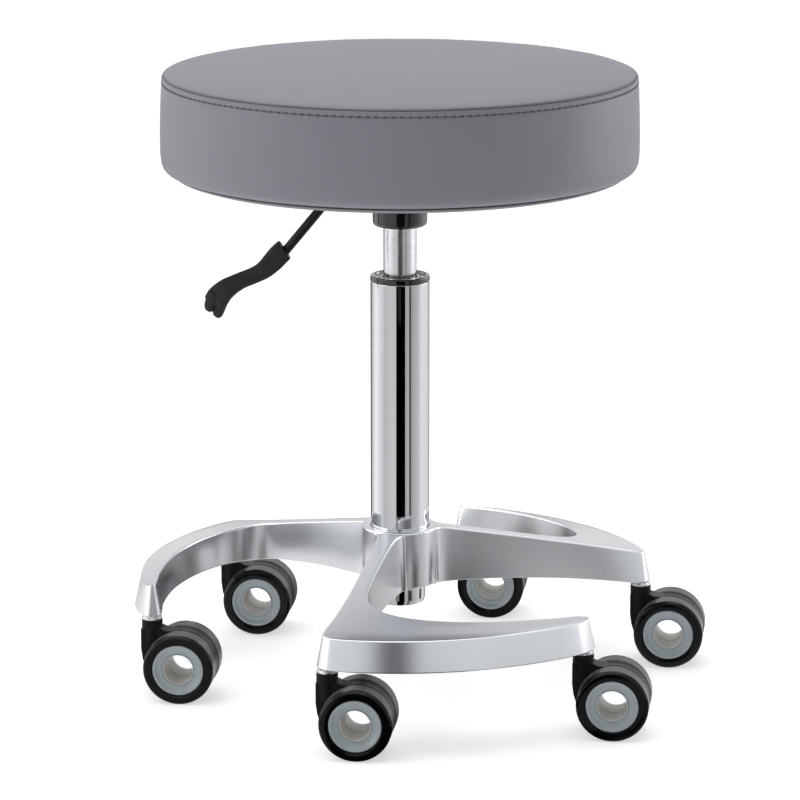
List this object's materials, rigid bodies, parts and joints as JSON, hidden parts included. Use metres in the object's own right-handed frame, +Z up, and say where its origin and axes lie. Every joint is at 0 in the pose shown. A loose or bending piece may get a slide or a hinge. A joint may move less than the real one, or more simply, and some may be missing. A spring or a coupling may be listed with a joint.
{
  "type": "pedicure stool",
  "caption": "Low round padded stool on a chromed gas column, with a curved cast base of hooked arms on hollow-centred twin-wheel casters and a height release lever.",
  "frame": {"origin": "on the floor under the middle of the stool's bounding box, beside the foot of the column, which stands 20.5 mm to -X of it", "axes": "+Z up along the gas column; +X the way all six casters trail at rest; -Y the side the open ends of the wheels face"},
  "size_m": [0.496, 0.4746, 0.531],
  "materials": {
    "cast_aluminium": "polished casting",
    "chrome": "mirror chrome plate",
    "satin_steel": "fine ground",
    "steel": "bright zinc plate",
    "black_paint": "satin black powder coat",
    "black_plastic": "moulded, matt",
    "gloss_black_plastic": "glossy",
    "rubber": "matt",
    "tyre": "smooth polyurethane",
    "hub_plastic": "moulded, semi-gloss",
    "pan_plastic": "grained",
    "plywood": "raw plywood",
    "foam": "open-cell foam",
    "vinyl": "fine-grained upholstery vinyl"
  },
  "bodies": {
    "base": {"base_casting": "cast_aluminium", "column_tube": "chrome", "column_ring": "black_plastic", "guide_bush": "black_plastic", "thrust_bearing": "steel", "caster_stem_1": "steel", "caster_stem_2": "steel", "caster_stem_3": "steel", "caster_stem_4": "steel", "caster_stem_5": "steel", "caster_stem_6": "steel"},
    "spindle": {"piston_rod": "steel", "rod_clip": "steel", "rubber_bumper": "rubber"},
    "seat": {"lift_cylinder": "satin_steel", "seat_plate": "black_paint", "socket_collar": "gloss_black_plastic", "lever_pin": "steel", "plate_bolt_1": "steel", "plate_bolt_2": "steel", "plate_bolt_3": "steel", "plate_bolt_4": "steel", "seat_board": "plywood", "foam_pad": "foam", "seat_cover": "vinyl", "seat_pan": "pan_plastic"},
    "lever": {"lever_rod": "black_paint", "lever_handle": "black_plastic"},
    "valve": {"valve_pin": "steel"},
    "caster_1": {"caster_housing_1": "black_plastic"},
    "wheel_1a": {"tyre_1a": "tyre", "hub_1a": "hub_plastic"},
    "wheel_1b": {"tyre_1b": "tyre", "hub_1b": "hub_plastic"},
    "caster_2": {"caster_housing_2": "black_plastic"},
    "wheel_2a": {"tyre_2a": "tyre", "hub_2a": "hub_plastic"},
    "wheel_2b": {"tyre_2b": "tyre", "hub_2b": "hub_plastic"},
    "caster_3": {"caster_housing_3": "black_plastic"},
    "wheel_3a": {"tyre_3a": "tyre", "hub_3a": "hub_plastic"},
    "wheel_3b": {"tyre_3b": "tyre", "hub_3b": "hub_plastic"},
    "caster_4": {"caster_housing_4": "black_plastic"},
    "wheel_4a": {"tyre_4a": "tyre", "hub_4a": "hub_plastic"},
    "wheel_4b": {"tyre_4b": "tyre", "hub_4b": "hub_plastic"},
    "caster_5": {"caster_housing_5": "black_plastic"},
    "wheel_5a": {"tyre_5a": "tyre", "hub_5a": "hub_plastic"},
    "wheel_5b": {"tyre_5b": "tyre", "hub_5b": "hub_plastic"},
    "caster_6": {"caster_housing_6": "black_plastic"},
    "wheel_6a": {"tyre_6a": "tyre", "hub_6a": "hub_plastic"},
    "wheel_6b": {"tyre_6b": "tyre", "hub_6b": "hub_plastic"}
  },
  "joints": [
    {"name": "seat_swivel", "type": "hinge", "parent": "base", "child": "spindle", "pos_m": [-0.02052, 0.00313, 0.08], "axis": [0, 0, 1], "continuous": true},
    {"name": "gas_lift", "type": "slide", "parent": "spindle", "child": "seat", "axis": [0, 0, 1], "range_m": [-0.03, 0.1]},
    {"name": "lever_pivot", "type": "hinge", "parent": "seat", "child": "lever", "pos_m": [-0.04652, 0.00313, 0.428], "axis": [0, 1, 0], "range_deg": [0, 8], "stiffness_Nm_per_rad": 0.6},
    {"name": "valve_press", "type": "slide", "parent": "seat", "child": "valve", "axis": [0, 0, -1], "range_m": [0, 0.0037]},
    {"name": "caster_swivel_1", "type": "hinge", "parent": "base", "child": "caster_1", "pos_m": [-0.07955, -0.20506, 0.06], "axis": [0, 0, 1], "continuous": true},
    {"name": "wheel_spin_1a", "type": "hinge", "parent": "caster_1", "child": "wheel_1a", "pos_m": [-0.05394, -0.20819, 0.03], "axis": [0.1213, 0.9926, 0], "continuous": true},
    {"name": "wheel_spin_1b", "type": "hinge", "parent": "caster_1", "child": "wheel_1b", "pos_m": [-0.05394, -0.20819, 0.03], "axis": [0.1213, 0.9926, 0], "continuous": true},
    {"name": "caster_swivel_2", "type": "hinge", "parent": "base", "child": "caster_2", "pos_m": [0.13026, -0.15209, 0.06], "axis": [0, 0, 1], "continuous": true},
    {"name": "wheel_spin_2a", "type": "hinge", "parent": "caster_2", "child": "wheel_2a", "pos_m": [0.15588, -0.15522, 0.03], "axis": [0.1213, 0.9926, 0], "continuous": true},
    {"name": "wheel_spin_2b", "type": "hinge", "parent": "caster_2", "child": "wheel_2b", "pos_m": [0.15588, -0.15522, 0.03], "axis": [0.1213, 0.9926, 0], "continuous": true},
    {"name": "caster_swivel_3", "type": "hinge", "parent": "base", "child": "caster_3", "pos_m": [0.1893, 0.05611, 0.06], "axis": [0, 0, 1], "continuous": true},
    {"name": "wheel_spin_3a", "type": "hinge", "parent": "caster_3", "child": "wheel_3a", "pos_m": [0.21491, 0.05297, 0.03], "axis": [0.1213, 0.9926, 0], "continuous": true},
    {"name": "wheel_spin_3b", "type": "hinge", "parent": "caster_3", "child": "wheel_3b", "pos_m": [0.21491, 0.05297, 0.03], "axis": [0.1213, 0.9926, 0], "continuous": true},
    {"name": "caster_swivel_4", "type": "hinge", "parent": "base", "child": "caster_4", "pos_m": [0.03851, 0.21132, 0.06], "axis": [0, 0, 1], "continuous": true},
    {"name": "wheel_spin_4a", "type": "hinge", "parent": "caster_4", "child": "wheel_4a", "pos_m": [0.06412, 0.20819, 0.03], "axis": [0.1213, 0.9926, 0], "continuous": true},
    {"name": "wheel_spin_4b", "type": "hinge", "parent": "caster_4", "child": "wheel_4b", "pos_m": [0.06412, 0.20819, 0.03], "axis": [0.1213, 0.9926, 0], "continuous": true},
    {"name": "caster_swivel_5", "type": "hinge", "parent": "base", "child": "caster_5", "pos_m": [-0.17131, 0.15835, 0.06], "axis": [0, 0, 1], "continuous": true},
    {"name": "wheel_spin_5a", "type": "hinge", "parent": "caster_5", "child": "wheel_5a", "pos_m": [-0.1457, 0.15522, 0.03], "axis": [0.1213, 0.9926, 0], "continuous": true},
    {"name": "wheel_spin_5b", "type": "hinge", "parent": "caster_5", "child": "wheel_5b", "pos_m": [-0.1457, 0.15522, 0.03], "axis": [0.1213, 0.9926, 0], "continuous": true},
    {"name": "caster_swivel_6", "type": "hinge", "parent": "base", "child": "caster_6", "pos_m": [-0.23034, -0.04985, 0.06], "axis": [0, 0, 1], "continuous": true},
    {"name": "wheel_spin_6a", "type": "hinge", "parent": "caster_6", "child": "wheel_6a", "pos_m": [-0.20473, -0.05298, 0.03], "axis": [0.1213, 0.9926, 0], "continuous": true},
    {"name": "wheel_spin_6b", "type": "hinge", "parent": "caster_6", "child": "wheel_6b", "pos_m": [-0.20473, -0.05298, 0.03], "axis": [0.1213, 0.9926, 0], "continuous": true}
  ],
  "couplings": [
    {"joint": "valve_press", "follows": "lever_pivot", "m_per_rad": 0.026}
  ]
}
